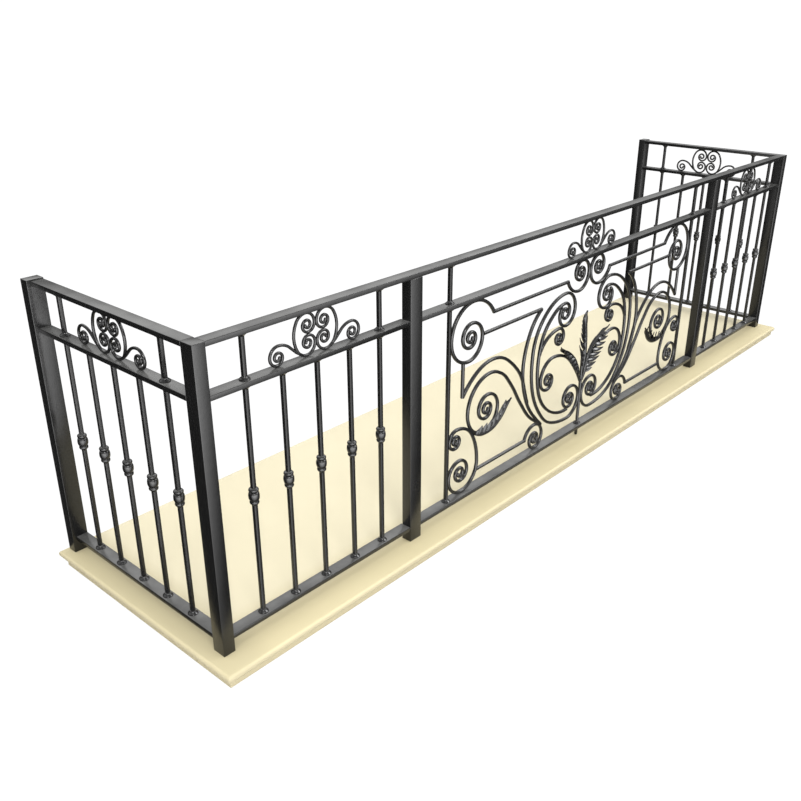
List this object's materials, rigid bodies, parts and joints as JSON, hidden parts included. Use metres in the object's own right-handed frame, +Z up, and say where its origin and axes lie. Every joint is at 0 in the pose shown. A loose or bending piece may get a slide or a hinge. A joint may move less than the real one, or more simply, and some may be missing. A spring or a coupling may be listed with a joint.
{
  "type": "balcony railing",
  "caption": "wrought iron balcony railing round three sides of a moulded stone slab, with square balusters and a middle bay of forged scrolls",
  "frame": {"origin": "middle of the slab's underside", "axes": "+X along the front to the right seen from the street, +Y towards the house wall, +Z up"},
  "size_m": [4.066, 0.982, 1.054],
  "materials": {
    "iron": "satin black paint over forged iron",
    "stone": "smooth cast stone"
  },
  "bodies": {
    "root": {"balusters_front_left": "iron", "balusters_front_right": "iron", "balusters_side_left": "iron", "balusters_side_right": "iron", "bottom_rail_centre": "iron", "bottom_rail_front_left": "iron", "bottom_rail_front_right": "iron", "bottom_rail_side_left": "iron", "bottom_rail_side_right": "iron", "corner_post_left": "iron", "corner_post_right": "iron", "corner_scroll_left": "iron", "corner_scroll_right": "iron", "crest_centre": "iron", "crest_front_left": "iron", "crest_front_right": "iron", "crest_side_left": "iron", "crest_side_right": "iron", "end_bar_left": "iron", "end_bar_right": "iron", "foot_scroll_left": "iron", "foot_scroll_right": "iron", "hand_rail_front": "iron", "hand_rail_side_left": "iron", "hand_rail_side_right": "iron", "lyre_scroll_left": "iron", "lyre_scroll_right": "iron", "mid_post_left": "iron", "mid_post_right": "iron", "middle_rail_centre": "iron", "middle_rail_front_left": "iron", "middle_rail_front_right": "iron", "middle_rail_side_left": "iron", "middle_rail_side_right": "iron", "middle_scroll_left": "iron", "middle_scroll_right": "iron", "ring_scroll_left": "iron", "ring_scroll_right": "iron", "s_scroll_left": "iron", "s_scroll_right": "iron", "slab_lower": "stone", "slab_top": "stone", "stalk": "iron", "wall_post_left": "iron", "wall_post_right": "iron"}
  },
  "joints": []
}
